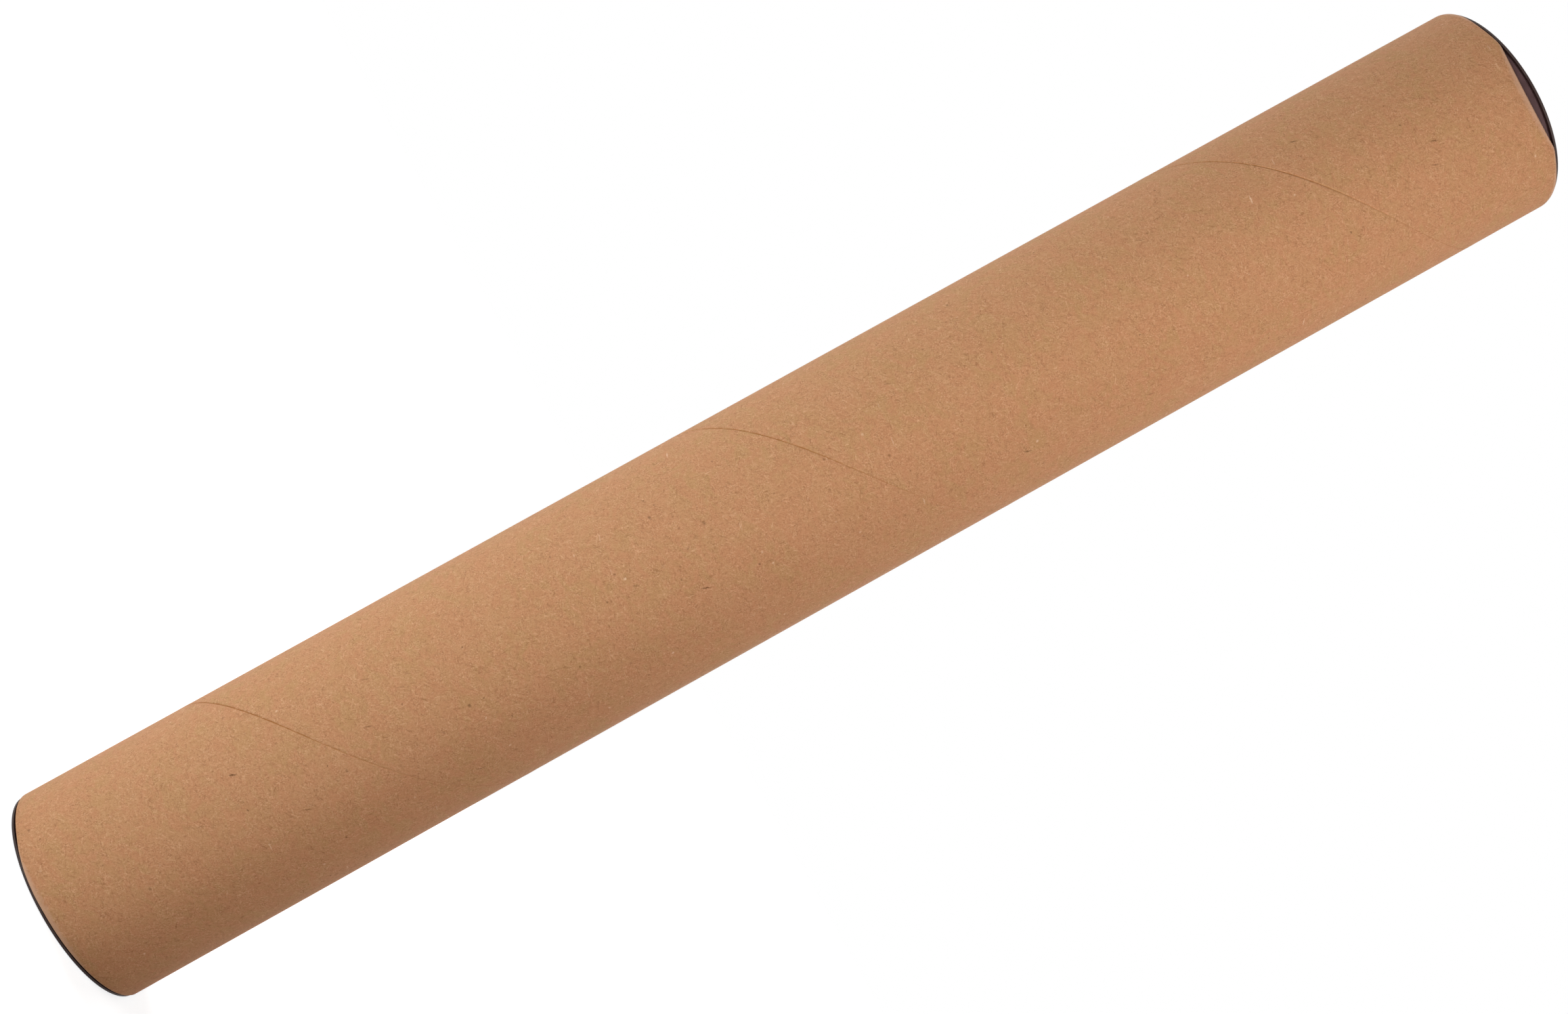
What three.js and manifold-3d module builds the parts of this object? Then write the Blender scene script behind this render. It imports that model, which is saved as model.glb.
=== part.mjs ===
// Mailing tube of spiral-wound kraft board, closed at each end with a push-in plastic cap.
// Millimetres, +Z up. The tube stands on its lower cap, with the origin at the centre of that cap's face.
import * as THREE from "three";
import { mergeVertices } from "three/addons/utils/BufferGeometryUtils.js";
import Module from "manifold-3d";

const wasm = await Module();
wasm.setup();

// Board tube
const tubeLength = 762;
const boreDiameter = 101.6;
const wallThickness = 1.8;

// Outer ply, a strip of board wound at the angle that brings its edges together
const plyWidth = 203.2;
const seamWidth = 0.9;
const seamDepth = 0.4;
const seamHeightAtFront = 146;

// Nick in the upper end of the board, cut as a slanting flat
const nickTurnDeg = 3.25;
const nickHalfAngleDeg = 31.75;
const nickSlope = 0.55;

// End caps
const flangeInset = 0.2;
const flangeThickness = 1.2;
const flangeLip = 0.3;
const plugDepth = 24;
const plugWall = 1.4;
const plugTaper = 0.5;
const floorThickness = 1.5;
const gripCount = 3;
const gripHeight = 0.45;
const gripWidth = 2.4;
const gripFirst = 5;
const gripSpacing = 5.5;
const cornerRadius = 2.5;

// Clearances
const fitGap = 0.3;
const seatGap = 0.3;

// Facets
const aroundSegments = 72;
const cornerSegments = 3;

const kraft = new THREE.MeshStandardMaterial({ color: 0xbb8a62, roughness: 0.85, metalness: 0 });
const blackPlastic = new THREE.MeshStandardMaterial({ color: 0x1c1a1a, roughness: 0.4, metalness: 0 });

const boreRadius = boreDiameter / 2;
const tubeRadius = boreRadius + wallThickness;
const tubeBase = flangeThickness + seatGap;
const tubeTop = tubeBase + tubeLength;
const overallHeight = tubeTop + seatGap + flangeThickness;
const facetAngle = (2 * Math.PI) / aroundSegments;

// One turn of the outer ply climbs by this much, since its width spans the turn squarely
const circumference = 2 * Math.PI * tubeRadius;
const seamPitch = plyWidth / Math.sqrt(1 - (plyWidth / circumference) ** 2);

// A body turned about Z from a closed outline of [radius, height] points
function turned(outline) {
  const points = outline.map(([radius, height]) => new THREE.Vector2(radius, height));
  const geometry = new THREE.LatheGeometry(points, aroundSegments);
  geometry.rotateX(Math.PI / 2);
  return geometry;
}

function toSolid(geometry) {
  geometry.deleteAttribute("normal");
  geometry.deleteAttribute("uv");
  const merged = mergeVertices(geometry);
  const mesh = new wasm.Mesh({
    numProp: 3,
    vertProperties: new Float32Array(merged.attributes.position.array),
    triVerts: new Uint32Array(merged.index.array),
  });
  return new wasm.Manifold(mesh);
}

function toGeometry(solid) {
  const { vertProperties, triVerts } = solid.getMesh();
  const geometry = new THREE.BufferGeometry();
  geometry.setAttribute("position", new THREE.BufferAttribute(vertProperties, 3));
  geometry.setIndex(new THREE.BufferAttribute(triVerts, 1));
  geometry.computeVertexNormals();
  return geometry;
}

// A body swept through a list of sections, each a ring of points in the same order
function swept(sections) {
  const size = sections[0].length;
  const positions = sections.flat().flatMap((point) => point.toArray());
  const index = [];
  for (let step = 0; step < sections.length - 1; step += 1) {
    for (let side = 0; side < size; side += 1) {
      const here = step * size + side;
      const beside = step * size + ((side + 1) % size);
      index.push(here, beside + size, beside);
      index.push(here, here + size, beside + size);
    }
  }
  const last = (sections.length - 1) * size;
  for (let side = 1; side < size - 1; side += 1) {
    index.push(0, side, side + 1);
    index.push(last, last + side + 1, last + side);
  }
  const geometry = new THREE.BufferGeometry();
  geometry.setAttribute("position", new THREE.Float32BufferAttribute(positions, 3));
  geometry.setIndex(index);
  return geometry;
}

// A point at a turn from the front (-Y) towards +X
function around(radius, turn, height) {
  return new THREE.Vector3(radius * Math.sin(turn), -radius * Math.cos(turn), height);
}

// The groove between the turns of the outer ply, from below the board to above it.
// Its sections stand at the middle of the wall's facets, clear of the facets' corners.
function seamGroove() {
  const outside = tubeRadius + seamDepth;
  const bottom = tubeRadius - seamDepth;
  const firstStep = Math.floor(((tubeBase - seamHeightAtFront) / seamPitch) * aroundSegments) - 2;
  const lastStep = Math.ceil(((tubeTop - seamHeightAtFront) / seamPitch) * aroundSegments) + 2;
  const sections = [];
  for (let step = firstStep; step <= lastStep; step += 1) {
    const facets = step + 0.5;
    const turn = facets * facetAngle;
    const middle = seamHeightAtFront + (seamPitch * facets) / aroundSegments;
    sections.push([
      around(outside, turn, middle - seamWidth),
      around(outside, turn, middle + seamWidth),
      around(bottom, turn, middle + seamWidth / 4),
      around(bottom, turn, middle - seamWidth / 4),
    ]);
  }
  return toSolid(swept(sections));
}

// The board that is missing above the slanting flat
function nickCutter() {
  const halfAngle = THREE.MathUtils.degToRad(nickHalfAngleDeg);
  const chordDistance = tubeRadius * Math.cos(halfAngle);
  const reach = tubeRadius - chordDistance;
  const flat = new THREE.Shape([
    new THREE.Vector2(chordDistance - reach, tubeTop + reach * nickSlope),
    new THREE.Vector2(chordDistance + 2 * reach, tubeTop - 2 * reach * nickSlope),
    new THREE.Vector2(chordDistance + 2 * reach, tubeTop + reach * nickSlope),
  ]);
  const geometry = new THREE.ExtrudeGeometry(flat, { depth: 2 * tubeRadius, bevelEnabled: false });
  geometry.translate(0, 0, -tubeRadius);
  geometry.rotateX(Math.PI / 2);
  geometry.rotateZ(THREE.MathUtils.degToRad(nickTurnDeg) - Math.PI / 2);
  return toSolid(geometry);
}

function boardTube() {
  const wall = turned([
    [boreRadius, tubeBase],
    [tubeRadius, tubeBase],
    [tubeRadius, tubeTop],
    [boreRadius, tubeTop],
    [boreRadius, tubeBase],
  ]);
  const cut = toSolid(wall).subtract(seamGroove()).subtract(nickCutter());
  const mesh = new THREE.Mesh(toGeometry(cut), kraft);
  mesh.name = "tube";
  return mesh;
}

// A quarter round from one direction to the next about a centre
function roundCorner([centreRadius, centreHeight], radius, startDeg, endDeg) {
  const arc = new THREE.EllipseCurve(
    centreRadius,
    centreHeight,
    radius,
    radius,
    THREE.MathUtils.degToRad(startDeg),
    THREE.MathUtils.degToRad(endDeg),
    endDeg < startDeg,
  );
  return arc.getPoints(cornerSegments).map((point) => [point.x, point.y]);
}

// Cap outline: a flange outside the tube and a cup that reaches into the bore, open at the face
function capOutline() {
  const gripRadius = boreRadius - fitGap;
  const plugRadius = gripRadius - gripHeight;
  const wallAt = (depth) => plugRadius - (plugTaper * depth) / plugDepth;
  const gripAt = (depth) => gripRadius - (plugTaper * depth) / plugDepth;
  const insideAt = (depth) => wallAt(depth) - plugWall;
  const floorTop = plugDepth - floorThickness;
  const flangeRadius = tubeRadius - flangeInset;

  const grips = [];
  for (let grip = 0; grip < gripCount; grip += 1) {
    const start = gripFirst + grip * gripSpacing;
    grips.push([wallAt(start), start]);
    grips.push([gripAt(start), start + gripWidth / 4]);
    grips.push([wallAt(start + gripWidth), start + gripWidth]);
  }
  const outerCorner = roundCorner([wallAt(plugDepth) - cornerRadius, plugDepth - cornerRadius], cornerRadius, 0, 90);
  const innerCorner = roundCorner([insideAt(floorTop) - cornerRadius, floorTop - cornerRadius], cornerRadius, 90, 0);
  return [
    [0, floorTop],
    ...innerCorner,
    [insideAt(0), flangeLip],
    [insideAt(0) + flangeLip, 0],
    [flangeRadius - flangeLip, 0],
    [flangeRadius, flangeLip],
    [flangeRadius, flangeThickness],
    [wallAt(flangeThickness), flangeThickness],
    ...grips,
    ...outerCorner,
    [0, plugDepth],
  ];
}

function endCap(name) {
  const mesh = new THREE.Mesh(turned(capOutline()), blackPlastic);
  mesh.name = name;
  return mesh;
}

const lowerCap = endCap("lower_end_cap");

const upperCap = endCap("upper_end_cap");
upperCap.rotation.x = Math.PI;
upperCap.position.z = overallHeight;

const mailingTube = new THREE.Group();
mailingTube.add(boardTube(), lowerCap, upperCap);

export default mailingTube;
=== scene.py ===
import math

import bmesh
import bpy
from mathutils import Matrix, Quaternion, Vector


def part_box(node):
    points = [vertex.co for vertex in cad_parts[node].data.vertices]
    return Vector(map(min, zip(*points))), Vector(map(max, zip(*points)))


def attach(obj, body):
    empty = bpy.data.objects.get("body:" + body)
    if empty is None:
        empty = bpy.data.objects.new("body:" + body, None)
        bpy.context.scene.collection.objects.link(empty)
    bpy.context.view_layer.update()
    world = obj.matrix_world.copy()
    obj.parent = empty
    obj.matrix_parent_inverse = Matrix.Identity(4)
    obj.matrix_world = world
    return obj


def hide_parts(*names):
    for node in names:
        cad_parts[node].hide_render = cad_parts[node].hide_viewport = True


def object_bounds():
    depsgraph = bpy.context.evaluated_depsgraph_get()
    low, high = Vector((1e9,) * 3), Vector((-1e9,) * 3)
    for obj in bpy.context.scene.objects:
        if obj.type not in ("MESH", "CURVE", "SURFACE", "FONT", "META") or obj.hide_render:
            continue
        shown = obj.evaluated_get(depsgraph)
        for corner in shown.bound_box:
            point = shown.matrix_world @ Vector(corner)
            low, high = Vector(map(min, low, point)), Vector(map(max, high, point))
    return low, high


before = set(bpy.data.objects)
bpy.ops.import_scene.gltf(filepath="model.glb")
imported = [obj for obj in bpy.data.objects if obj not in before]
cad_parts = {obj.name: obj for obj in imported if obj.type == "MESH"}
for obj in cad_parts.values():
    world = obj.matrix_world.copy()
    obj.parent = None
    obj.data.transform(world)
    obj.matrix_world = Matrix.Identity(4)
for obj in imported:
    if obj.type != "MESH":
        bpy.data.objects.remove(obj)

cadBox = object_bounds()
frameTop = cadBox[1].z
print("frame loaded", sorted(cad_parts))

mm = 0.001
fullTurn = 2 * math.pi
gridWeld = 0.01 * mm  # joins the outer strip to the bore and cut edges
weldDistance = 0.004 * mm
sliverLength = 0.002 * mm


# Node and colour helpers

def linearColor(hexColor):
    channels = [int(hexColor[i:i + 2], 16) / 255 for i in (1, 3, 5)]
    return [c / 12.92 if c <= 0.04045 else ((c + 0.055) / 1.055) ** 2.4 for c in channels] + [1.0]


def addNode(tree, kind, inputs=None, **settings):
    node = tree.nodes.new(kind)
    for name, value in settings.items():
        setattr(node, name, value)
    for key, value in (inputs or {}).items():
        if isinstance(value, bpy.types.Node):
            tree.links.new(value.outputs[0], node.inputs[key])
        elif isinstance(value, bpy.types.NodeSocket):
            tree.links.new(value, node.inputs[key])
        else:
            node.inputs[key].default_value = value
    return node


def setRamp(node, stops):  # stops are (place, brightness or colour)
    ramp = node.color_ramp
    while len(ramp.elements) < len(stops):
        ramp.elements.new(1.0)
    for element, (place, value) in zip(ramp.elements, stops):
        element.position = place
        element.color = value if isinstance(value, list) else (value, value, value, 1.0)
    return node


def newMaterial(name):
    material = bpy.data.materials.new(name)
    material.use_nodes = True
    material.node_tree.nodes.clear()
    return material, material.node_tree


# The board tube: sizes come from its CAD solid, the rest is what the winding and the saw leave

tubeLow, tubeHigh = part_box("tube")
capLow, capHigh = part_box("lower_end_cap")

tubeShape = {
    "outerRadius": (tubeHigh.x - tubeLow.x) / 2,
    "wall": 1.8 * mm,
    "lowerEdge": tubeLow.z,
    "upperEdge": tubeHigh.z,
    "plyWidth": 203.2 * mm,  # outer ply, an 8 in strip
    "seamHeight": 146 * mm,  # where the seam first crosses the front
    "seamWidth": 0.9 * mm,
    "seamDepth": 0.3 * mm,
    "seamFlatShare": 0.2,  # the gap's flat bottom, to each side of its middle, in seamWidths
    "pliesLift": 0.05 * mm,  # the strip's edges stand up a little beside the gap
    "liftShare": 2.5,  # where that lift ends, in seamWidths from the gap's middle
    "surfaceWave": 0.05 * mm,
    "nickTurn": math.radians(3.25),
    "nickHalfAngle": math.radians(31.75),
    "nickSlope": 0.55,
    "nickSoftLeft": 0.9 * mm,  # how far its two shoulders are rounded
    "nickSoftRight": 0.12 * mm,
    "edgeRound": 0.35 * mm,
    "columns": 180,
    "rows": 56,
}
seamFade = {"fromSine": -0.45, "toSine": 0.5, "leftOver": 0.25}  # sines of the turn from the front
waveLength = 45 * mm
flaredPly = 0.4 * mm  # thickness of the ply that flares at the upper edge
plyStep = 0.1 * mm
shoulderSine = 0.45  # a shoulder's own rounding holds in full from here outwards
crowding = 0.97  # of the most that the strip's rows can gather at its seam
spareTurns = 1  # past each end, where the trim folds the strip away
circumference = fullTurn * tubeShape["outerRadius"]
seamCosine = math.sqrt(1 - (tubeShape["plyWidth"] / circumference) ** 2)
seamPitch = tubeShape["plyWidth"] / seamCosine
seamSine = tubeShape["plyWidth"] / circumference
firstTurn = math.floor((tubeShape["lowerEdge"] - tubeShape["seamHeight"]) / seamPitch) - spareTurns
windingTurns = math.ceil((tubeShape["upperEdge"] - tubeShape["lowerEdge"]) / seamPitch) + 2 * spareTurns
print("seam pitch", round(seamPitch / mm, 1), "mm, turns", windingTurns)


def seamDistance(tree, turn, height, pitch, seamHeight):  # metres along Z to the nearest seam, turn in turns
    climbed = addNode(tree, "ShaderNodeMath", {0: height, 1: seamHeight}, operation="SUBTRACT")
    inTurns = addNode(tree, "ShaderNodeMath", {0: climbed, 1: pitch}, operation="DIVIDE")
    past = addNode(tree, "ShaderNodeMath", {0: inTurns, 1: turn}, operation="SUBTRACT")
    nearest = addNode(tree, "ShaderNodeMath", {0: past}, operation="ROUND")
    off = addNode(tree, "ShaderNodeMath", {0: past, 1: nearest}, operation="SUBTRACT")
    away = addNode(tree, "ShaderNodeMath", {0: off}, operation="ABSOLUTE")
    return addNode(tree, "ShaderNodeMath", {0: away, 1: pitch}, operation="MULTIPLY")


def seamOpening(tree, angle):  # 1 where the gap is open, less where it closes towards +X
    side = addNode(tree, "ShaderNodeMath", {0: angle}, operation="SINE")
    return addNode(tree, "ShaderNodeMapRange", {
        "Value": side, "From Min": seamFade["fromSine"], "From Max": seamFade["toSine"],
        "To Min": 1.0, "To Max": seamFade["leftOver"]}).outputs[0]


edgeProfiles = {  # how far the cut edges wander from flat: (degrees from the front towards +X, mm)
    "lower": [(-180, 0.3), (-120, 0.45), (-85, 0.7), (-54, 0.85), (-32, 0.1), (-16, -0.22),
              (0, 0.05), (19, 0.2), (55, 0.5), (85, 0.45), (130, 0.15), (180, 0.3)],
    "upper": [(-180, 0.05), (-110, 0.1), (-80, 0.15), (-62, 0.0), (-50, -0.2), (-40, -0.4), (-31, -0.2),
              (0, 0.0), (35, 0.0), (47, 0.0), (60, 0.1), (90, 0.1), (180, 0.05)],
    "flare": [(-180, 0.3), (-110, 0.4), (-84, 0.5), (-66, 0.6), (-56, 0.4), (-46, 0.0), (0, 0.0),
              (42, 0.0), (54, 0.35), (66, 0.6), (84, 0.5), (120, 0.35), (180, 0.3)],
}
profileReach = 4.0  # mm from the curve's bottom to its top


def edgeOffset(tree, angle, profile):
    turned = addNode(tree, "ShaderNodeMath", {0: angle, 1: 1 / fullTurn, 2: 0.5}, operation="MULTIPLY_ADD")
    share = addNode(tree, "ShaderNodeMath", {0: turned}, operation="FRACT")
    curve = addNode(tree, "ShaderNodeFloatCurve", {1: share})
    points = curve.mapping.curves[0].points
    stops = [(deg / 360 + 0.5, 0.5 + rise / profileReach) for deg, rise in edgeProfiles[profile]]
    points[0].location, points[1].location = stops[0], stops[-1]
    for stop in stops[1:-1]:
        points.new(*stop)
    curve.mapping.update()
    centred = addNode(tree, "ShaderNodeMath", {0: curve, 1: 0.5}, operation="SUBTRACT")
    return addNode(tree, "ShaderNodeMath", {0: centred, 1: profileReach * mm}, operation="MULTIPLY")


def buildTubeTree(shape, material):
    tree = bpy.data.node_groups.new("woundTube", "GeometryNodeTree")
    tree.interface.new_socket("Geometry", in_out="OUTPUT", socket_type="NodeSocketGeometry")
    for name in shape:
        kind = "NodeSocketInt" if name in ("columns", "rows") else "NodeSocketFloat"
        tree.interface.new_socket(name, in_out="INPUT", socket_type=kind)
    size = {s.name: s for s in tree.nodes.new("NodeGroupInput").outputs if s.name}

    def place(angle, height, radius):
        across = addNode(tree, "ShaderNodeMath", {0: angle}, operation="SINE")
        towards = addNode(tree, "ShaderNodeMath", {0: angle}, operation="COSINE")
        back = addNode(tree, "ShaderNodeMath", {0: towards, 1: -1.0}, operation="MULTIPLY")
        x = addNode(tree, "ShaderNodeMath", {0: across, 1: radius}, operation="MULTIPLY")
        y = addNode(tree, "ShaderNodeMath", {0: back, 1: radius}, operation="MULTIPLY")
        return addNode(tree, "ShaderNodeCombineXYZ", {0: x, 1: y, 2: height})

    def lowerCut(angle):
        risen = edgeOffset(tree, angle, "lower")
        return addNode(tree, "ShaderNodeMath", {0: size["lowerEdge"], 1: risen}, operation="ADD")

    def upperCut(angle, radius):  # the nick is a slanting flat, and beside it the outer ply flares up
        turned = addNode(tree, "ShaderNodeMath", {0: angle, 1: size["nickTurn"]}, operation="SUBTRACT")
        facing = addNode(tree, "ShaderNodeMath", {0: turned}, operation="COSINE")
        reach = addNode(tree, "ShaderNodeMath", {0: facing, 1: radius}, operation="MULTIPLY")
        halfCosine = addNode(tree, "ShaderNodeMath", {0: size["nickHalfAngle"]}, operation="COSINE")
        chord = addNode(tree, "ShaderNodeMath", {0: halfCosine, 1: size["outerRadius"]}, operation="MULTIPLY")
        past = addNode(tree, "ShaderNodeMath", {0: reach, 1: chord}, operation="SUBTRACT")
        slant = addNode(tree, "ShaderNodeMath", {0: past, 1: size["nickSlope"]}, operation="MULTIPLY")
        side = addNode(tree, "ShaderNodeMath", {0: turned}, operation="SINE")
        softness = addNode(tree, "ShaderNodeMapRange", {
            "Value": side, "From Min": -shoulderSine, "From Max": shoulderSine,
            "To Min": size["nickSoftLeft"], "To Max": size["nickSoftRight"]})
        drop = addNode(tree, "ShaderNodeMath", {0: slant, 1: 0.0, 2: softness}, operation="SMOOTH_MAX")
        wander = edgeOffset(tree, angle, "upper")
        cut = addNode(tree, "ShaderNodeMath", {0: wander, 1: drop}, operation="SUBTRACT")
        depth = addNode(tree, "ShaderNodeMath", {0: size["outerRadius"], 1: radius}, operation="SUBTRACT")
        outermost = addNode(tree, "ShaderNodeMapRange", {
            "Value": depth, "From Min": flaredPly, "From Max": flaredPly + plyStep,
            "To Min": 1.0, "To Max": 0.0})
        flared = addNode(tree, "ShaderNodeMath", {
            0: edgeOffset(tree, angle, "flare"), 1: outermost, 2: cut}, operation="MULTIPLY_ADD")
        return addNode(tree, "ShaderNodeMath", {0: size["upperEdge"], 1: flared}, operation="ADD")

    def outerFace(angle, turn, height):  # radius of the outer ply with its gap, lifted edges and faint waves
        away = seamDistance(tree, turn, height, seamPitch, size["seamHeight"])
        square = addNode(tree, "ShaderNodeMath", {0: away, 1: seamCosine}, operation="MULTIPLY")
        flat = addNode(tree, "ShaderNodeMath", {0: size["seamWidth"], 1: size["seamFlatShare"]},
                       operation="MULTIPLY")
        half = addNode(tree, "ShaderNodeMath", {0: size["seamWidth"], 1: 0.5}, operation="MULTIPLY")
        liftEnd = addNode(tree, "ShaderNodeMath", {0: size["seamWidth"], 1: size["liftShare"]},
                          operation="MULTIPLY")
        deepest = addNode(tree, "ShaderNodeMath", {0: seamOpening(tree, angle), 1: size["seamDepth"]},
                          operation="MULTIPLY")
        groove = addNode(tree, "ShaderNodeMapRange", {
            "Value": square, "From Min": flat.outputs[0], "From Max": half.outputs[0],
            "To Min": deepest.outputs[0], "To Max": 0.0}, interpolation_type="SMOOTHSTEP")
        lift = addNode(tree, "ShaderNodeMapRange", {
            "Value": square, "From Min": half.outputs[0], "From Max": liftEnd.outputs[0],
            "To Min": size["pliesLift"], "To Max": 0.0}, interpolation_type="SMOOTHSTEP")
        wrapped = place(angle, height, size["outerRadius"])
        noise = addNode(tree, "ShaderNodeTexNoise", {
            "Vector": wrapped, "Scale": 1 / waveLength, "Detail": 1.0})
        # Less 1, so that the waves only go inwards and the board keeps its outer radius
        inwards = addNode(tree, "ShaderNodeMath", {0: noise, 1: 1.0}, operation="SUBTRACT")
        swell = addNode(tree, "ShaderNodeMath", {0: inwards, 1: size["surfaceWave"]}, operation="MULTIPLY")
        inset = addNode(tree, "ShaderNodeMath", {0: size["outerRadius"], 1: size["pliesLift"]},
                        operation="SUBTRACT")
        lifted = addNode(tree, "ShaderNodeMath", {0: inset, 1: lift}, operation="ADD")
        waved = addNode(tree, "ShaderNodeMath", {0: lifted, 1: swell}, operation="ADD")
        return addNode(tree, "ShaderNodeMath", {0: waved, 1: groove}, operation="SUBTRACT")

    # Outer face: one strip wound round, its rows crowded towards the seam
    allColumns = addNode(tree, "ShaderNodeMath", {0: size["columns"], 1: windingTurns, 2: 1.0},
                         operation="MULTIPLY_ADD")
    strip = addNode(tree, "GeometryNodeMeshGrid", {
        "Size X": 1.0, "Size Y": 1.0, "Vertices X": allColumns, "Vertices Y": size["rows"]})
    where = addNode(tree, "ShaderNodeSeparateXYZ", {0: addNode(tree, "GeometryNodeInputPosition")})
    along = addNode(tree, "ShaderNodeMath", {0: where.outputs[0], 1: 0.5}, operation="ADD")
    turns = addNode(tree, "ShaderNodeMath", {0: along, 1: windingTurns, 2: firstTurn},
                    operation="MULTIPLY_ADD")
    angle = addNode(tree, "ShaderNodeMath", {0: turns, 1: fullTurn}, operation="MULTIPLY")
    width = addNode(tree, "ShaderNodeMath", {0: where.outputs[1], 1: 0.5}, operation="ADD")
    widthTurn = addNode(tree, "ShaderNodeMath", {0: width, 1: fullTurn}, operation="MULTIPLY")
    ripple = addNode(tree, "ShaderNodeMath", {0: widthTurn}, operation="SINE")
    crowded = addNode(tree, "ShaderNodeMath", {0: ripple, 1: -crowding / fullTurn, 2: width},
                      operation="MULTIPLY_ADD")
    level = addNode(tree, "ShaderNodeMath", {0: turns, 1: crowded}, operation="ADD")
    height = addNode(tree, "ShaderNodeMath", {0: level, 1: seamPitch, 2: size["seamHeight"]},
                     operation="MULTIPLY_ADD")
    lowest = addNode(tree, "ShaderNodeMath", {0: lowerCut(angle), 1: size["edgeRound"]}, operation="ADD")
    highest = addNode(tree, "ShaderNodeMath", {0: upperCut(angle, size["outerRadius"]), 1: size["edgeRound"]},
                      operation="SUBTRACT")
    trimmed = addNode(tree, "ShaderNodeClamp", {
        "Value": height, "Min": lowest.outputs[0], "Max": highest.outputs[0]})
    outside = addNode(tree, "GeometryNodeSetPosition", {
        "Geometry": strip.outputs["Mesh"],
        "Position": place(angle, trimmed, outerFace(angle, turns, trimmed))})

    # Bore and both cut edges: rows run out over the lower edge, up the bore and out over the upper edge.
    # A section is its face (1 outer, 0 bore), then its shifts across the wall and along Z, in edgeRounds.
    corner = 1 - math.sqrt(0.5)
    sections = [(1, 0, 1), (1, -corner, corner), (1, -1, 0), (1, -1.55, 0),
                (0, 1, 0), (0, corner, corner), (0, 0, 1)]
    sectionRows = 2 * len(sections)
    wallGrid = addNode(tree, "GeometryNodeMeshGrid", {
        "Size X": 1.0, "Size Y": 1.0, "Vertices Y": sectionRows,
        "Vertices X": addNode(tree, "ShaderNodeMath", {0: size["columns"], 1: 1.0}, operation="ADD")})
    gridAlong = addNode(tree, "ShaderNodeMath", {0: where.outputs[0], 1: 0.5}, operation="ADD")
    gridAngle = addNode(tree, "ShaderNodeMath", {0: gridAlong, 1: fullTurn}, operation="MULTIPLY")
    lastRow = sectionRows - 1
    row = addNode(tree, "ShaderNodeMath", {0: where.outputs[1], 1: lastRow, 2: lastRow / 2},
                  operation="MULTIPLY_ADD")
    fromTop = addNode(tree, "ShaderNodeMath", {0: lastRow, 1: row}, operation="SUBTRACT")
    step = addNode(tree, "ShaderNodeMath", {0: row, 1: fromTop}, operation="MINIMUM")
    isUpper = addNode(tree, "ShaderNodeMath", {0: row, 1: lastRow / 2}, operation="GREATER_THAN")
    roundShare = addNode(tree, "ShaderNodeMath", {0: size["edgeRound"], 1: size["wall"]}, operation="DIVIDE")
    acrossSwitch = addNode(tree, "GeometryNodeIndexSwitch", data_type="FLOAT")
    insetSwitch = addNode(tree, "GeometryNodeIndexSwitch", data_type="FLOAT")
    for switch in (acrossSwitch, insetSwitch):
        while len(switch.index_switch_items) < len(sections):
            switch.index_switch_items.new()
        rounded = addNode(tree, "FunctionNodeFloatToInt", {0: step}, rounding_mode="ROUND")
        tree.links.new(rounded.outputs[0], switch.inputs["Index"])
    for item, (face, shift, inset) in enumerate(sections):
        acrossHere = addNode(tree, "ShaderNodeMath", {0: roundShare, 1: shift, 2: face},
                             operation="MULTIPLY_ADD")
        insetHere = addNode(tree, "ShaderNodeMath", {0: size["edgeRound"], 1: inset}, operation="MULTIPLY")
        tree.links.new(acrossHere.outputs[0], acrossSwitch.inputs[item + 1])
        tree.links.new(insetHere.outputs[0], insetSwitch.inputs[item + 1])
    boreRadius = addNode(tree, "ShaderNodeMath", {0: size["outerRadius"], 1: size["wall"]},
                         operation="SUBTRACT")
    wallRadius = addNode(tree, "ShaderNodeMapRange", {
        "Value": acrossSwitch, "To Min": boreRadius.outputs[0], "To Max": size["outerRadius"]})
    lowerHere = addNode(tree, "ShaderNodeMath", {0: lowerCut(gridAngle), 1: insetSwitch}, operation="ADD")
    upperAt = upperCut(gridAngle, wallRadius.outputs[0])
    upperHere = addNode(tree, "ShaderNodeMath", {0: upperAt, 1: insetSwitch}, operation="SUBTRACT")
    cutHeight = addNode(tree, "ShaderNodeMix", {0: isUpper, 2: lowerHere, 3: upperHere})
    faceRadius = outerFace(gridAngle, gridAlong, cutHeight)
    cutRadius = addNode(tree, "ShaderNodeMapRange", {
        "Value": acrossSwitch, "To Min": boreRadius.outputs[0], "To Max": faceRadius.outputs[0]})
    inside = addNode(tree, "GeometryNodeSetPosition", {
        "Geometry": wallGrid.outputs["Mesh"], "Position": place(gridAngle, cutHeight, cutRadius.outputs[0])})

    joined = addNode(tree, "GeometryNodeJoinGeometry")
    tree.links.new(outside.outputs[0], joined.inputs[0])
    tree.links.new(inside.outputs[0], joined.inputs[0])
    merged = addNode(tree, "GeometryNodeMergeByDistance", {"Geometry": joined, "Distance": gridWeld})
    smooth = addNode(tree, "GeometryNodeSetShadeSmooth", {"Geometry": merged})
    realized = addNode(tree, "GeometryNodeRealizeInstances", {"Geometry": smooth})
    finished = addNode(tree, "GeometryNodeSetMaterial", {"Geometry": realized, "Material": material})
    output = addNode(tree, "NodeGroupOutput")
    tree.links.new(finished.outputs[0], output.inputs[0])
    return tree


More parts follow.
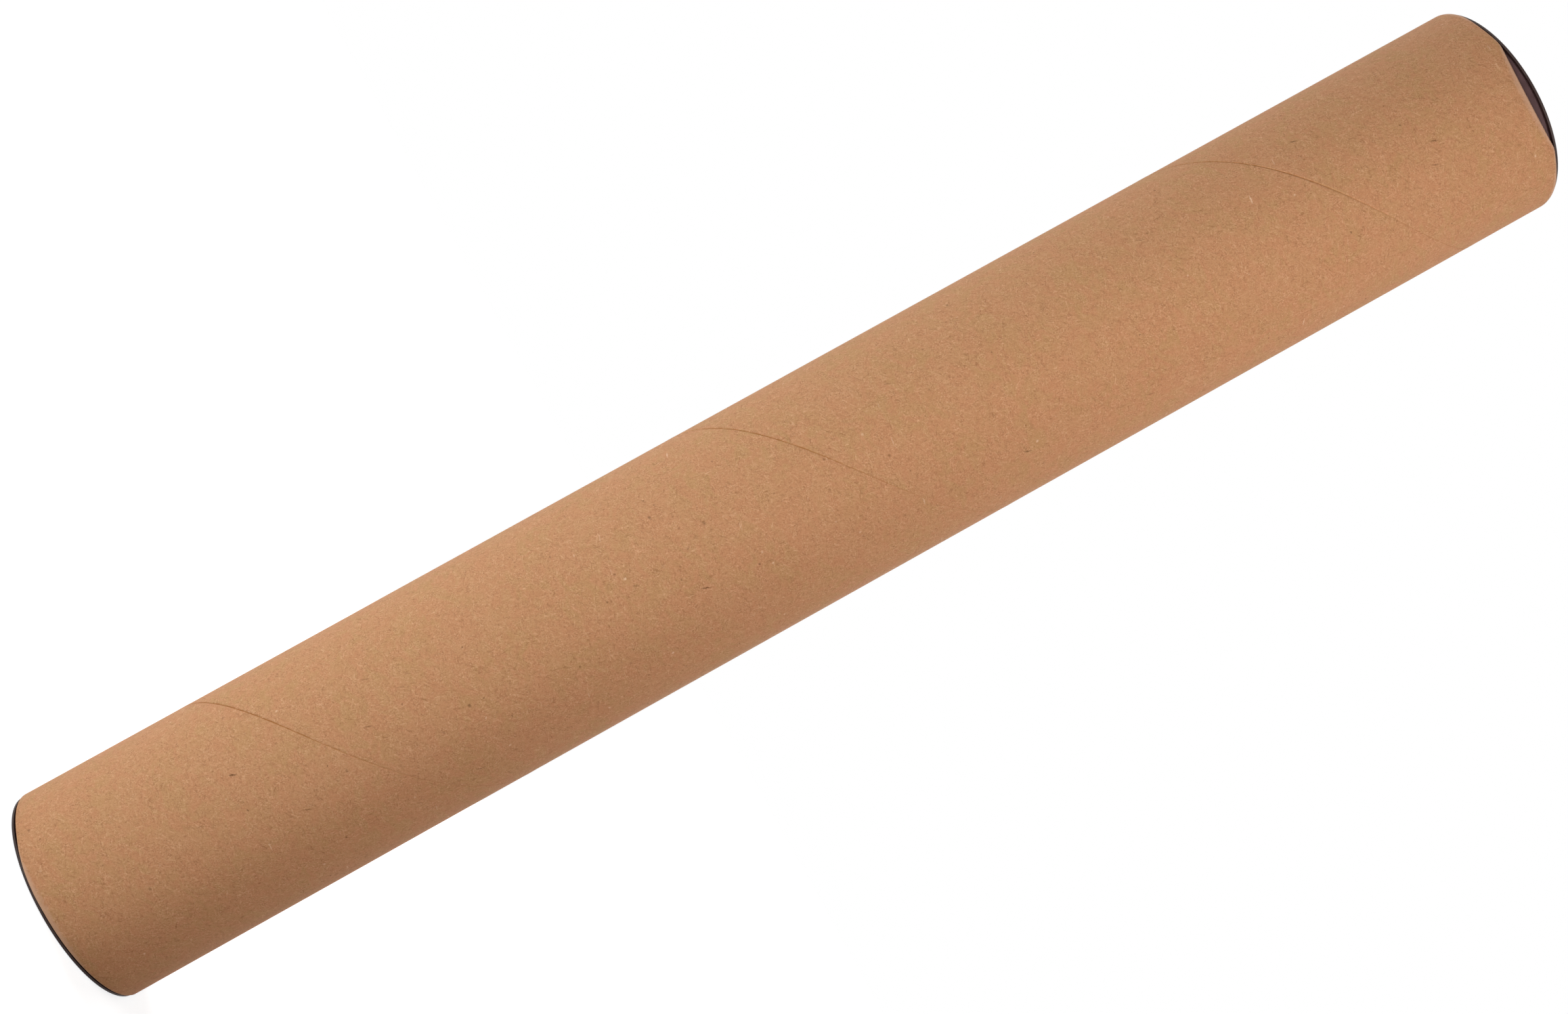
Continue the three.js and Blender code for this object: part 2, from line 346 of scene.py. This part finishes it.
def bakeTree(name, tree, values, material):  # runs a node tree on an empty mesh and keeps the plain result
    holder = bpy.data.objects.new(name + "Maker", bpy.data.meshes.new(name + "Maker"))
    bpy.context.scene.collection.objects.link(holder)
    modifier = holder.modifiers.new("make", "NODES")
    modifier.node_group = tree
    for item in tree.interface.items_tree:
        if item.in_out == "INPUT" and item.name in values:
            modifier[item.identifier] = values[item.name]
    graph = bpy.context.evaluated_depsgraph_get()
    mesh = bpy.data.meshes.new_from_object(holder.evaluated_get(graph))
    bpy.data.objects.remove(holder)
    return keepMesh(name, mesh, material)


def keepMesh(name, mesh, material, sharpDeg=38):
    shell = bmesh.new()
    shell.from_mesh(mesh)
    bmesh.ops.remove_doubles(shell, verts=shell.verts, dist=weldDistance)
    bmesh.ops.dissolve_degenerate(shell, edges=shell.edges, dist=sliverLength)
    bmesh.ops.recalc_face_normals(shell, faces=shell.faces)
    openEdges = sum(1 for e in shell.edges if len(e.link_faces) != 2)
    shell.to_mesh(mesh)
    shell.free()
    mesh.shade_smooth()
    mesh.set_sharp_from_angle(angle=math.radians(sharpDeg))
    mesh.materials.clear()
    mesh.materials.append(material)
    piece = bpy.data.objects.new(name, mesh)
    bpy.context.scene.collection.objects.link(piece)
    print(name, len(mesh.polygons), "faces,", openEdges, "edges not shared by two")
    return piece


# Kraft board: unbleached brown paper wound in glued plies. Matte, with short crossing fibres,
# soft cloudy patches, dark and pale flecks, a dark gap along the seam, pale fuzz on cut edges
# and a painted highlight along the nick's edge.

kraftLook = {
    "paper": "#BC8961",
    "paperOlive": "#B7895D",
    "paperRed": "#BD855F",
    "fibreDark": "#966744",
    "fibrePale": "#D6A982",
    "fleckDark": "#67422A",
    # pale fuzz of the cut edges, also the colour of the painted highlight along the nick
    "fleckPale": "#E2BFA0",
    "seam": "#945C28",
    "fuzzAndNickHighlight": "#C9A084",
    "bore": "#A37A54",
    "cloudMm": 24,
    "patchMm": 7,
    "patchStretch": 1.4,
    "fibreLengthMm": 3.2,
    "fibreWidthMm": 0.95,
    "fibreTurns": [(4, 0.9), (-42, 0.8), (55, 0.8), (95, 0.65), (-15, 0.75)],  # degrees, strength
    "coarseFibres": 3,  # how many of those are full size
    "fineFibre": 0.6,  # size of the others
    "clumpMm": (9, 6),
    "gritMm": 0.7,
    "gritClumpMm": (8, 6),
    "flecks": [  # length and width in mm, degrees, share of places that hold one, shift, tone
        (1.5, 1.1, 20, 0.035, 5, "fleckDark"),
        (0.9, 0.7, 50, 0.05, 23, "fleckDark"),
        (1.1, 0.9, 70, 0.03, 41, "fleckPale"),
        (3.4, 0.6, -30, 0.05, 63, "fleckDark"),
        (3.8, 0.5, 48, 0.05, 87, "fleckPale"),
    ],
    "fuzzMm": 1.1,
    "fuzzAndHighlightAtNick": 0.45,  # how much of the nick's drop it adds to its reach, as fuzz and a painted highlight along the nick
    "raggedMm": 2.2,
    "ringMm": 0.45,
    "cutDepthMm": (0.55, 0.75),  # below the outer face, where the look of the cut edge comes in
    "boreDepthMm": (1.7, 1.78),
    "roughness": 0.92,
}


def makeKraft(look, shape):
    material, tree = newMaterial("kraftBoard")
    spot = addNode(tree, "ShaderNodeTexCoord").outputs["Object"]
    xyz = addNode(tree, "ShaderNodeSeparateXYZ", {0: spot})
    minusY = addNode(tree, "ShaderNodeMath", {0: xyz.outputs[1], 1: -1.0}, operation="MULTIPLY")
    angle = addNode(tree, "ShaderNodeMath", {0: xyz.outputs[0], 1: minusY}, operation="ARCTAN2")
    turn = addNode(tree, "ShaderNodeMath", {0: angle, 1: fullTurn}, operation="DIVIDE")
    height = xyz.outputs[2]

    # Strip coordinates in mm, along the winding and across it: the fibres break at the seam, as in paper
    climbed = addNode(tree, "ShaderNodeMath", {0: height, 1: shape["seamHeight"]}, operation="SUBTRACT")
    inTurns = addNode(tree, "ShaderNodeMath", {0: climbed, 1: seamPitch}, operation="DIVIDE")
    past = addNode(tree, "ShaderNodeMath", {0: inTurns, 1: turn}, operation="SUBTRACT")
    wound = addNode(tree, "ShaderNodeMath", {0: past}, operation="FLOOR")
    allTurns = addNode(tree, "ShaderNodeMath", {0: turn, 1: wound}, operation="ADD")
    unrolled = addNode(tree, "ShaderNodeMath", {0: allTurns, 1: circumference / mm}, operation="MULTIPLY")
    risen = addNode(tree, "ShaderNodeMath", {0: climbed, 1: 1 / mm}, operation="MULTIPLY")
    alongA = addNode(tree, "ShaderNodeMath", {0: unrolled, 1: seamCosine}, operation="MULTIPLY")
    along = addNode(tree, "ShaderNodeMath", {0: risen, 1: seamSine, 2: alongA}, operation="MULTIPLY_ADD")
    acrossA = addNode(tree, "ShaderNodeMath", {0: unrolled, 1: -seamSine}, operation="MULTIPLY")
    across = addNode(tree, "ShaderNodeMath", {0: risen, 1: seamCosine, 2: acrossA}, operation="MULTIPLY_ADD")
    sheet = addNode(tree, "ShaderNodeCombineXYZ", {0: along, 1: across})

    def pattern(lengthMm, widthMm, turnDeg, detail, shift, bend=0.0):  # stretched noise, middle value 0.5
        mapped = addNode(tree, "ShaderNodeMapping", {
            "Vector": sheet, "Rotation": (0, 0, math.radians(turnDeg)),
            "Location": (shift, shift * 2, shift * 3)})
        stretched = addNode(tree, "ShaderNodeVectorMath", {
            0: mapped, 1: (1 / lengthMm, 1 / widthMm, 1.0)}, operation="MULTIPLY")
        return addNode(tree, "ShaderNodeTexNoise", {
            "Vector": stretched, "Scale": 1.0, "Detail": detail, "Distortion": bend})

    def flecks(lengthMm, widthMm, turnDeg, share, shift):  # spots in a share of a pattern's cells
        wobbleScale, wobbleMm, cellScale = 1.1, 1.3, 0.22
        mapped = addNode(tree, "ShaderNodeMapping", {
            "Vector": sheet, "Rotation": (0, 0, math.radians(turnDeg)), "Location": (shift, shift * 2, 0)})
        wobble = addNode(tree, "ShaderNodeTexNoise", {"Vector": mapped, "Scale": wobbleScale, "Detail": 2.0})
        shaken = addNode(tree, "ShaderNodeVectorMath", {
            0: wobble.outputs["Color"], 1: (wobbleMm, wobbleMm, 0), 2: mapped}, operation="MULTIPLY_ADD")
        stretched = addNode(tree, "ShaderNodeVectorMath", {
            0: shaken, 1: (1 / lengthMm, 1 / widthMm, 1.0)}, operation="MULTIPLY")
        cells = addNode(tree, "ShaderNodeTexVoronoi", {
            "Vector": stretched, "Scale": cellScale, "Randomness": 1.0})
        spotShape = setRamp(addNode(tree, "ShaderNodeValToRGB", {0: cells.outputs["Distance"]}),
                            [(0.0, 1.0), (0.06, 0.8), (0.17, 0.0)])
        pick = addNode(tree, "ShaderNodeSeparateXYZ", {0: cells.outputs["Color"]})
        chosen = addNode(tree, "ShaderNodeMath", {0: pick, 1: share}, operation="LESS_THAN")
        strength = addNode(tree, "ShaderNodeMath", {0: pick.outputs[1], 1: chosen}, operation="MULTIPLY")
        return addNode(tree, "ShaderNodeMath", {0: spotShape, 1: strength}, operation="MULTIPLY")

    def blend(factor, below, above):
        return addNode(tree, "ShaderNodeMix", {0: factor, 6: below, 7: above}, data_type="RGBA").outputs[2]

    clouds = pattern(look["cloudMm"], look["cloudMm"], 0, detail=2, shift=3, bend=0.6)
    cloud = setRamp(addNode(tree, "ShaderNodeValToRGB", {0: clouds}), [(0.38, 0.0), (0.62, 1.0)])
    patches = pattern(look["patchMm"] * look["patchStretch"], look["patchMm"], 25,
                      detail=4, shift=11, bend=1.2)
    patch = setRamp(addNode(tree, "ShaderNodeValToRGB", {0: patches}), [(0.4, 0.0), (0.6, 0.9)])
    color = blend(cloud.outputs[0], linearColor(look["paper"]), linearColor(look["paperOlive"]))
    color = blend(patch.outputs[0], color, linearColor(look["paperRed"]))

    # Fibres felt in clumps: each direction shows where its own clump pattern is strong
    fibreHeights = []
    for number, (turnDeg, strength) in enumerate(look["fibreTurns"]):
        scale = 1.0 if number < look["coarseFibres"] else look["fineFibre"]
        fibre = pattern(look["fibreLengthMm"] * scale, look["fibreWidthMm"] * scale, turnDeg,
                        detail=3, shift=17 + 5 * number, bend=1.6)
        fibreHeights.append(fibre)
        clumps = pattern(*look["clumpMm"], turnDeg + 30, detail=2, shift=71 + number)
        clump = setRamp(addNode(tree, "ShaderNodeValToRGB", {0: clumps}), [(0.4, 0.4), (0.62, 1.0)])
        darkEnds = [(0.26, strength), (0.43, 0.0)]
        paleEnds = [(0.58, 0.0), (0.76, strength)]
        for ends, tone in ((darkEnds, "fibreDark"), (paleEnds, "fibrePale")):
            shown = setRamp(addNode(tree, "ShaderNodeValToRGB", {0: fibre}), ends)
            share = addNode(tree, "ShaderNodeMath", {0: shown, 1: clump}, operation="MULTIPLY")
            color = blend(share.outputs[0], color, linearColor(look[tone]))

    # Loose grit between the fibres, finer than a fibre is wide
    grit = pattern(look["gritMm"], look["gritMm"], 10, detail=1, shift=97)
    gritClumps = pattern(*look["gritClumpMm"], 60, detail=2, shift=103)
    gritClump = setRamp(addNode(tree, "ShaderNodeValToRGB", {0: gritClumps}), [(0.45, 0.0), (0.6, 0.5)])
    for ends, tone in (([(0.3, 1.0), (0.42, 0.0)], "fibreDark"), ([(0.58, 0.0), (0.7, 1.0)], "fibrePale")):
        shown = setRamp(addNode(tree, "ShaderNodeValToRGB", {0: grit}), ends)
        share = addNode(tree, "ShaderNodeMath", {0: shown, 1: gritClump}, operation="MULTIPLY")
        color = blend(share.outputs[0], color, linearColor(look[tone]))

    for *row, tone in look["flecks"]:
        color = blend(flecks(*row).outputs[0], color, linearColor(look[tone]))

    # The gap between the strip's edges, broken up a little by fibres that bridge it. Its stops are in mm.
    away = seamDistance(tree, turn, height, seamPitch, shape["seamHeight"])
    square = addNode(tree, "ShaderNodeMath", {0: away, 1: seamCosine / mm}, operation="MULTIPLY")
    bridging = pattern(3, 3, 0, detail=2, shift=29)
    shiver = addNode(tree, "ShaderNodeMath", {0: bridging, 1: 0.5, 2: square}, operation="MULTIPLY_ADD")
    gap = setRamp(addNode(tree, "ShaderNodeValToRGB", {0: shiver}), [(0.24, 0.95), (0.6, 0.0)])
    gapShare = addNode(tree, "ShaderNodeMath", {0: gap, 1: seamOpening(tree, angle)}, operation="MULTIPLY")
    color = blend(gapShare.outputs[0], color, linearColor(look["seam"]))

    # Pale fuzz along the cut edges. At the nick it widens into a painted highlight along the edge
    sideways = addNode(tree, "ShaderNodeCombineXYZ", {0: xyz.outputs[0], 1: xyz.outputs[1]})
    radiusHere = addNode(tree, "ShaderNodeVectorMath", {0: sideways}, operation="LENGTH").outputs["Value"]
    turned = addNode(tree, "ShaderNodeMath", {0: angle, 1: shape["nickTurn"]}, operation="SUBTRACT")
    facing = addNode(tree, "ShaderNodeMath", {0: turned}, operation="COSINE")
    pastChord = addNode(tree, "ShaderNodeMath", {0: facing, 1: math.cos(shape["nickHalfAngle"])},
                        operation="SUBTRACT")
    nickFall = addNode(tree, "ShaderNodeMath", {0: pastChord, 1: shape["nickSlope"] * shape["outerRadius"]},
                       operation="MULTIPLY")
    nickDrop = addNode(tree, "ShaderNodeMath", {0: nickFall, 1: 0.0}, operation="MAXIMUM")
    upperAt = addNode(tree, "ShaderNodeMath", {0: shape["upperEdge"], 1: nickDrop}, operation="SUBTRACT")
    belowUpper = addNode(tree, "ShaderNodeMath", {0: upperAt, 1: height}, operation="SUBTRACT")
    aboveLower = addNode(tree, "ShaderNodeMath", {0: height, 1: shape["lowerEdge"]}, operation="SUBTRACT")
    toEdge = addNode(tree, "ShaderNodeMath", {0: belowUpper, 1: aboveLower}, operation="MINIMUM")
    fuzzAndHighlightReach = addNode(tree, "ShaderNodeMath", {0: nickDrop, 1: look["fuzzAndHighlightAtNick"], 2: look["fuzzMm"] * mm},
                        operation="MULTIPLY_ADD")
    raggedness = pattern(look["raggedMm"], look["raggedMm"], 0, detail=3, shift=51)
    ragged = addNode(tree, "ShaderNodeMath", {0: raggedness, 1: 1.6, 2: 0.2}, operation="MULTIPLY_ADD")
    raggedReach = addNode(tree, "ShaderNodeMath", {0: fuzzAndHighlightReach, 1: ragged}, operation="MULTIPLY")
    nearEdge = addNode(tree, "ShaderNodeMath", {0: toEdge, 1: raggedReach}, operation="DIVIDE")
    fuzzAndNickHighlight = setRamp(addNode(tree, "ShaderNodeValToRGB", {0: nearEdge}), [(0.3, 0.75), (1.0, 0.0)])
    color = blend(fuzzAndNickHighlight.outputs[0], color, linearColor(look["fuzzAndNickHighlight"]))

    # Cut faces show the plies as thin rings, and the bore is plainer, greyer paper
    depth = addNode(tree, "ShaderNodeMath", {0: shape["outerRadius"], 1: radiusHere}, operation="SUBTRACT")
    depthMm = addNode(tree, "ShaderNodeMath", {0: depth, 1: 1 / mm}, operation="MULTIPLY")
    ringTurn = addNode(tree, "ShaderNodeMath", {0: depthMm, 1: fullTurn / look["ringMm"]},
                       operation="MULTIPLY")
    rings = addNode(tree, "ShaderNodeMath", {0: ringTurn}, operation="SINE")
    ringShade = addNode(tree, "ShaderNodeMapRange", {"Value": rings, "From Min": -1.0, "To Max": 0.35})
    cutTone = blend(ringShade.outputs[0], linearColor(look["fuzzAndNickHighlight"]), linearColor(look["fibreDark"]))
    isCut, isBore = [addNode(tree, "ShaderNodeMapRange", {
        "Value": depthMm, "From Min": start, "From Max": full})
        for start, full in (look["cutDepthMm"], look["boreDepthMm"])]
    boreTone = blend(patch.outputs[0], linearColor(look["bore"]), linearColor(look["fibreDark"]))
    color = blend(isCut.outputs[0], color, cutTone)
    color = blend(isBore.outputs[0], color, boreTone)

    relief = fibreHeights[0]
    for fibre in fibreHeights[1:]:
        relief = addNode(tree, "ShaderNodeMath", {0: relief, 1: fibre}, operation="ADD")
    bump = addNode(tree, "ShaderNodeBump", {"Strength": 0.5, "Distance": 0.06 * mm, "Height": relief})
    shader = addNode(tree, "ShaderNodeBsdfPrincipled", {
        "Base Color": color, "Roughness": look["roughness"], "IOR": 1.47, "Specular IOR Level": 0.2,
        "Sheen Weight": 0.06, "Sheen Roughness": 0.5, "Normal": bump})
    addNode(tree, "ShaderNodeOutputMaterial", {"Surface": shader})
    return material


# Push-in caps: injection-moulded low-density polyethylene, black. Satin skin with a faint grain,
# its rim made paler by a painted highlight, paler smears on the plug's wall and faint dust in the recess.

capShape = {
    "flangeThickness": 1.2 * mm,
    "flangeRadius": (capHigh.x - capLow.x) / 2 - 0.5 * mm,
    "flangeRound": 0.35 * mm,
    "plugDepth": capHigh.z - capLow.z,
    "plugRadius": 50.05 * mm,
    "plugTaper": 0.5 * mm,
    "plugWall": 1.4 * mm,
    "floorThickness": 1.5 * mm,
    "mouthDepth": 4 * mm,  # the last ring of the recess's wall before its rounded mouth
    "shoulderDepth": 2 * mm,  # the plug's wall starts with its radius at this depth
    "gripCount": 3,
    "gripHeight": 0.43 * mm,
    "gripWidth": 2.4 * mm,
    "gripFirst": 5 * mm,
    "gripSpacing": 5.5 * mm,
    "gripLean": 0.6,  # under 1 puts a rib's crest nearer the flange
    "gripPeak": 1.5,  # over 1 narrows it
    "gripSteps": 8,
    "cornerRadius": 2.5 * mm,
    "cornerSteps": 8,
    "gateRadius": 3.2 * mm,
    "gateTopShare": 0.8,
    "gateDepth": 0.35 * mm,
    "columns": 180,
}


def arcPoints(centreRadius, centreHeight, radius, startDeg, endDeg, steps):
    points = []
    for step in range(steps + 1):
        turn = math.radians(startDeg + (endDeg - startDeg) * step / steps)
        points.append((centreRadius + radius * math.cos(turn), centreHeight + radius * math.sin(turn)))
    return points


def capProfile(cap):  # (radius, height) from the floor's centre out to the flange, back in under the floor
    depth, taper, wall = cap["plugDepth"], cap["plugTaper"], cap["plugWall"]
    corner, edge, flange = cap["cornerRadius"], cap["flangeRound"], cap["flangeRadius"]
    floorTop = depth - cap["floorThickness"]
    gateTop = floorTop + cap["gateDepth"]

    def outsideAt(height):
        return cap["plugRadius"] - taper * height / depth

    points = [(0, gateTop), (cap["gateRadius"] * cap["gateTopShare"], gateTop)]
    points += [(cap["gateRadius"], floorTop)]
    recessCorner = outsideAt(floorTop) - wall - corner
    points += arcPoints(recessCorner, floorTop - corner, corner, 90, 0, cap["cornerSteps"])
    points += [(outsideAt(cap["mouthDepth"]) - wall, cap["mouthDepth"])]
    points += arcPoints(outsideAt(0) - wall + edge, edge, edge, 180, 270, 5)
    points += arcPoints(flange - edge, edge, edge, 270, 360, 6)
    points += arcPoints(flange - edge / 2, cap["flangeThickness"] - edge / 2, edge / 2, 0, 90, 4)
    points += [(outsideAt(0) + edge, cap["flangeThickness"])]
    points += [(outsideAt(cap["shoulderDepth"]), cap["flangeThickness"] + edge)]
    for grip in range(cap["gripCount"]):
        start = cap["gripFirst"] + grip * cap["gripSpacing"]
        for step in range(cap["gripSteps"] + 1):
            share = step / cap["gripSteps"]
            height = start + share * cap["gripWidth"]
            rise = math.sin(math.pi * share ** cap["gripLean"]) ** cap["gripPeak"] * cap["gripHeight"]
            points.append((outsideAt(height) + rise, height))
    points += arcPoints(outsideAt(depth) - corner, depth - corner, corner, 0, 90, cap["cornerSteps"])
    points += [(0, depth)]
    return points


def buildCap(name, cap, material, upsideDown):
    profile = capProfile(cap)
    columns = cap["columns"]
    shell = bmesh.new()
    rings = []
    for radius, height in profile:
        z = frameTop - height if upsideDown else height
        if radius == 0:
            rings.append([shell.verts.new((0, 0, z))] * columns)
            continue
        ring = []
        for k in range(columns):
            turn = fullTurn * k / columns
            ring.append(shell.verts.new((radius * math.sin(turn), -radius * math.cos(turn), z)))
        rings.append(ring)
    for inner, outer in zip(rings, rings[1:]):
        for k in range(columns):
            after = (k + 1) % columns
            corners = []
            for vert in (inner[k], outer[k], outer[after], inner[after]):
                if vert not in corners:
                    corners.append(vert)
            shell.faces.new(corners)
    mesh = bpy.data.meshes.new(name)
    shell.to_mesh(mesh)
    shell.free()
    return keepMesh(name, mesh, material)


plasticLook = {
    "skin": "#281412",
    # painted highlight on the flange's rim
    "rimHighlight": "#463A36",
    # paler smears on the plug's wall, and faint dust in the recess
    "paleSmear": "#5E4647",
    "grainMm": 0.6,
    "smearMm": 9,
    "roughness": 0.5,
}


def makePlastic(look, cap):
    material, tree = newMaterial("mouldedPolyethylene")
    spot = addNode(tree, "ShaderNodeTexCoord").outputs["Object"]
    xyz = addNode(tree, "ShaderNodeSeparateXYZ", {0: spot})
    grain = addNode(tree, "ShaderNodeTexNoise", {
        "Vector": spot, "Scale": 1 / (look["grainMm"] * mm), "Detail": 2.0})
    smear = addNode(tree, "ShaderNodeTexNoise", {
        "Vector": spot, "Scale": 1 / (look["smearMm"] * mm), "Detail": 4.0})
    sideways = addNode(tree, "ShaderNodeCombineXYZ", {0: xyz.outputs[0], 1: xyz.outputs[1]})
    radiusHere = addNode(tree, "ShaderNodeVectorMath", {0: sideways}, operation="LENGTH").outputs["Value"]

    def between(low, high):  # 1 where the surface lies between two radii, with soft ends
        rising = addNode(tree, "ShaderNodeMapRange", {
            "Value": radiusHere, "From Min": low, "From Max": low + 0.2 * mm},
            interpolation_type="SMOOTHSTEP")
        falling = addNode(tree, "ShaderNodeMapRange", {
            "Value": radiusHere, "From Min": high - 0.1 * mm, "From Max": high,
            "To Min": 1.0, "To Max": 0.0}, interpolation_type="SMOOTHSTEP")
        return addNode(tree, "ShaderNodeMath", {0: rising.outputs[0], 1: falling.outputs[0]},
                       operation="MULTIPLY")

    # Painted highlight: the flange's outer rim is made paler
    rim = between(cap["flangeRadius"] - 0.3 * mm, 1.0)
    # The plug's wall is made paler in smears
    plugFace = between(cap["plugRadius"] - 0.7 * mm, cap["plugRadius"] + 0.12 * mm)
    recess = between(0, cap["plugRadius"] - cap["plugWall"] - 0.4 * mm)
    places = [
        (rim, [(0.4, 0.35), (0.68, 0.95)], "rimHighlight"),
        (plugFace, [(0.3, 0.6), (0.65, 1.0)], "paleSmear"),
        (recess, [(0.48, 0.0), (0.8, 0.3)], "paleSmear"),
    ]
    color = linearColor(look["skin"])
    for place, stops, tone in places:
        strength = setRamp(addNode(tree, "ShaderNodeValToRGB", {0: smear}), stops)
        share = addNode(tree, "ShaderNodeMath", {0: place, 1: strength}, operation="MULTIPLY")
        color = addNode(tree, "ShaderNodeMix", {0: share, 6: color, 7: linearColor(look[tone])},
                        data_type="RGBA").outputs[2]
    rough = addNode(tree, "ShaderNodeMapRange", {
        "Value": smear.outputs[0], "To Min": look["roughness"] - 0.08, "To Max": look["roughness"] + 0.12})
    bump = addNode(tree, "ShaderNodeBump", {
        "Strength": 0.25, "Distance": 0.03 * mm, "Height": grain.outputs[0]})
    shader = addNode(tree, "ShaderNodeBsdfPrincipled", {
        "Base Color": color, "Roughness": rough.outputs[0], "IOR": 1.51, "Specular IOR Level": 0.2,
        "Normal": bump})
    addNode(tree, "ShaderNodeOutputMaterial", {"Surface": shader})
    return material


# Make the three pieces and tie them to the frame

kraftBoard = makeKraft(kraftLook, tubeShape)
mouldedPolyethylene = makePlastic(plasticLook, capShape)
pieces = {
    "tube": bakeTree("woundTube", buildTubeTree(tubeShape, kraftBoard), tubeShape, kraftBoard),
    "lower_end_cap": buildCap("lowerCap", capShape, mouldedPolyethylene, False),
    "upper_end_cap": buildCap("upperCap", capShape, mouldedPolyethylene, True),
}
for node, piece in pieces.items():
    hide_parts(node)
    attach(piece, node)
print("pieces ready")


# Floor, world, lamps and camera

studio = {
    "floorSize": 30.0,
    "floorColor": "#DCDCDC",
    "floorGlow": 0.68,
    "floorGlowTint": (0.944, 0.98, 1.0, 1.0),  # evens out the warm world light, so the far floor is white
    "worldLight": 0.12,
    "worldTint": (1.0, 0.64, 0.42, 1.0),  # warm bounce of a room
    "sky": {"turnDeg": -120, "riseDeg": 55, "spreadDeg": 30, "power": 1.54},
    "lamps": [  # each faces the tube; turnDeg 0 is the front, positive towards +X
        {"name": "keyLow", "turnDeg": -50, "height": 0.1, "reach": 0.95, "power": 8.74,
         "tint": (0.89, 1.0, 1.05)},
        {"name": "fillHigh", "turnDeg": 38, "height": 0.66, "reach": 0.62, "power": 1.82,
         "tint": (1.03, 1.0, 0.96)},
        {"name": "sideHigh", "turnDeg": 68, "height": 0.68, "reach": 0.62, "power": 1.43,
         "tint": (0.93, 1.0, 1.09)},
        {"name": "backSoft", "turnDeg": 165, "height": 0.4, "reach": 1.25, "power": 6.0,
         "tint": (0.94, 1.0, 1.05)},
    ],
    "lampSize": 0.5,
}


def seenRays(tree):  # 1 for rays that show the background: to the camera, in gloss and through glass
    rays = addNode(tree, "ShaderNodeLightPath")
    total = rays.outputs["Is Camera Ray"]
    for name in ("Is Glossy Ray", "Is Transmission Ray"):
        total = addNode(tree, "ShaderNodeMath", {0: total, 1: rays.outputs[name]},
                        operation="MAXIMUM").outputs[0]
    return total


def makeFloor(look):
    half = look["floorSize"] / 2
    mesh = bpy.data.meshes.new("floor")
    corners = [(-half, -half, 0), (half, -half, 0), (half, half, 0), (-half, half, 0)]
    mesh.from_pydata(corners, [], [(0, 1, 2, 3)])
    material, tree = newMaterial("paleFloor")
    paint = addNode(tree, "ShaderNodeBsdfDiffuse", {"Color": linearColor(look["floorColor"])})
    glow = addNode(tree, "ShaderNodeEmission", {
        "Color": look["floorGlowTint"], "Strength": look["floorGlow"]})
    seen = addNode(tree, "ShaderNodeMixShader", {0: seenRays(tree), 2: glow})
    both = addNode(tree, "ShaderNodeAddShader", {0: paint, 1: seen})
    addNode(tree, "ShaderNodeOutputMaterial", {"Surface": both})
    mesh.materials.append(material)
    floor = bpy.data.objects.new("floor", mesh)
    bpy.context.scene.collection.objects.link(floor)


def makeWorld(look):
    world = bpy.data.worlds.new("studio")
    bpy.context.scene.world = world
    world.use_nodes = True
    tree = world.node_tree
    tree.nodes.clear()
    strength = addNode(tree, "ShaderNodeMapRange", {
        "Value": seenRays(tree), "To Min": look["worldLight"], "To Max": 1.0})
    tint = addNode(tree, "ShaderNodeMix", {0: seenRays(tree), 6: look["worldTint"], 7: (1, 1, 1, 1)},
                   data_type="RGBA").outputs[2]
    sky = addNode(tree, "ShaderNodeBackground", {"Color": tint, "Strength": strength.outputs[0]})
    addNode(tree, "ShaderNodeOutputWorld", {"Surface": sky})


def addLight(name, data, at, aim):
    light = bpy.data.objects.new(name, data)
    light.location = at
    light.rotation_euler = (Vector(aim) - Vector(at)).to_track_quat("-Z", "Y").to_euler()
    light.visible_camera = False
    bpy.context.scene.collection.objects.link(light)


def makeLights(look):
    sky = look["sky"]
    data = bpy.data.lights.new("softSky", "SUN")
    data.energy = sky["power"]
    data.angle = math.radians(sky["spreadDeg"])
    turn, rise = math.radians(sky["turnDeg"]), math.radians(sky["riseDeg"])
    at = (math.sin(turn) * math.cos(rise), -math.cos(turn) * math.cos(rise), math.sin(rise))
    addLight("softSky", data, at, (0, 0, 0))
    for lamp in look["lamps"]:
        data = bpy.data.lights.new(lamp["name"], "AREA")
        data.shape = "SQUARE"
        data.size = look["lampSize"]
        data.energy = lamp["power"]
        data.color = lamp["tint"]
        turn = math.radians(lamp["turnDeg"])
        at = (lamp["reach"] * math.sin(turn), -lamp["reach"] * math.cos(turn), lamp["height"])
        addLight(lamp["name"], data, at, (0, 0, lamp["height"]))


photoCamera = {  # where the photograph was taken from, in metres in the standing tube's frame
    "at": (0, -0.9197, 0.3159),
    "aim": (0.0016, 0, 0.3725),
    "rollDeg": 60.95,
    "lensMm": 44.70,
    "sensorMm": 36.0,
}


def makeCamera(view):
    data = bpy.data.cameras.new("photoCamera")
    data.sensor_width = view["sensorMm"]
    data.lens = view["lensMm"]
    data.clip_start, data.clip_end = 0.01, 100
    camera = bpy.data.objects.new("photoCamera", data)
    look = (Vector(view["aim"]) - Vector(view["at"])).to_track_quat("-Z", "Y")
    camera.rotation_mode = "QUATERNION"
    camera.rotation_quaternion = look @ Quaternion((0, 0, 1), math.radians(view["rollDeg"]))
    camera.location = view["at"]
    bpy.context.scene.collection.objects.link(camera)
    bpy.context.scene.camera = camera


makeFloor(studio)
makeWorld(studio)
makeLights(studio)
makeCamera(photoCamera)
bpy.context.scene.view_settings.view_transform = "Standard"
print("studio ready")
